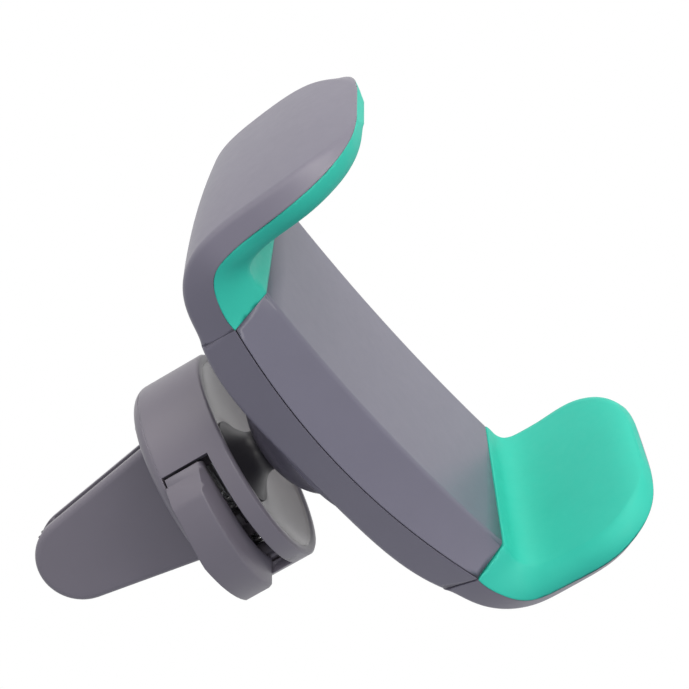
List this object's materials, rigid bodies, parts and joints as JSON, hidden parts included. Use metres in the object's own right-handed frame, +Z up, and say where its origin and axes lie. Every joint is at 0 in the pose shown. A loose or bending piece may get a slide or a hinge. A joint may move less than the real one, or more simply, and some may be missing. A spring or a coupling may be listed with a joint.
{
  "type": "car phone holder",
  "caption": "Car phone holder: sprung-jaw cradle on a ball joint, with a round drum whose two sprung prongs clip on an air vent louvre.",
  "frame": {"origin": "on the drum's axis, at the drum's rear face, which lies against the vent", "axes": "+Y into the vent between the prongs, +Z up across the louvre, +X towards the fixed jaw"},
  "size_m": [0.0836, 0.094, 0.0545],
  "materials": {
    "grey_cover": "fine satin, light grey",
    "grey_case": "fine satin, cool grey",
    "grey_clip": "fine satin, mid grey",
    "teal_pad": "soft matte, teal",
    "black_plastic": "satin, black",
    "slide_plastic": "waxy, natural white",
    "grip_rubber": "matte, dark grey",
    "screw_steel": "zinc plated",
    "spring_steel": "bright drawn wire"
  },
  "bodies": {
    "vent_clip": {"drum_housing": "grey_clip", "drum_back_plate": "grey_clip", "back_plate_screws": "screw_steel", "pivot_pin": "screw_steel", "torsion_springs": "spring_steel"},
    "upper_lever": {"upper_lever": "grey_clip", "upper_grip_pad": "grip_rubber"},
    "lower_lever": {"lower_lever": "grey_clip", "lower_grip_pad": "grip_rubber"},
    "ball_stud": {"ball_stud": "black_plastic", "stud_washer": "screw_steel", "stud_screw": "screw_steel"},
    "ball_cup": {"ball_cup": "slide_plastic"},
    "cradle": {"front_cover": "grey_cover", "rear_cover": "grey_case", "fixed_jaw_shell": "grey_case", "fixed_jaw_pad": "teal_pad", "fixed_jaw_screws": "screw_steel", "cover_screws": "screw_steel", "ball_retainer": "black_plastic", "retainer_screws": "screw_steel", "disc_spring": "spring_steel", "return_springs": "spring_steel"},
    "moving_jaw": {"moving_jaw_shell": "grey_case", "moving_jaw_pad": "teal_pad", "slide_carriage": "slide_plastic", "carriage_screws": "screw_steel"}
  },
  "joints": [
    {"name": "upper_lever_squeeze", "type": "hinge", "parent": "vent_clip", "child": "upper_lever", "pos_m": [0, -0.0052, 0], "axis": [1, 0, 0], "range_deg": [0, 4], "stiffness_Nm_per_rad": 0.15, "springref_deg": -20.05, "deforming": ["torsion_springs"]},
    {"name": "lower_lever_squeeze", "type": "hinge", "parent": "vent_clip", "child": "lower_lever", "pos_m": [0, -0.0052, 0], "axis": [-1, 0, 0], "range_deg": [0, 4], "stiffness_Nm_per_rad": 0.15, "springref_deg": -20.05},
    {"name": "stud_spin", "type": "hinge", "parent": "vent_clip", "child": "ball_stud", "pos_m": [0, -0.0184, 0], "axis": [0, 1, 0], "continuous": true},
    {"name": "ball_tilt", "type": "hinge", "parent": "ball_stud", "child": "ball_cup", "pos_m": [0, -0.0184, 0], "axis": [-0.8436, 0, 0.537], "range_deg": [-32, 4]},
    {"name": "cradle_spin", "type": "hinge", "parent": "ball_cup", "child": "cradle", "pos_m": [0, -0.0184, 0], "axis": [-0.1262, 0.972, -0.1982], "continuous": true},
    {"name": "jaw_slide", "type": "slide", "parent": "cradle", "child": "moving_jaw", "axis": [-0.9681, -0.1642, -0.1891], "range_m": [0, 0.025], "stiffness_N_per_m": 60, "springref_m": -0.05, "deforming": ["return_springs"]}
  ]
}
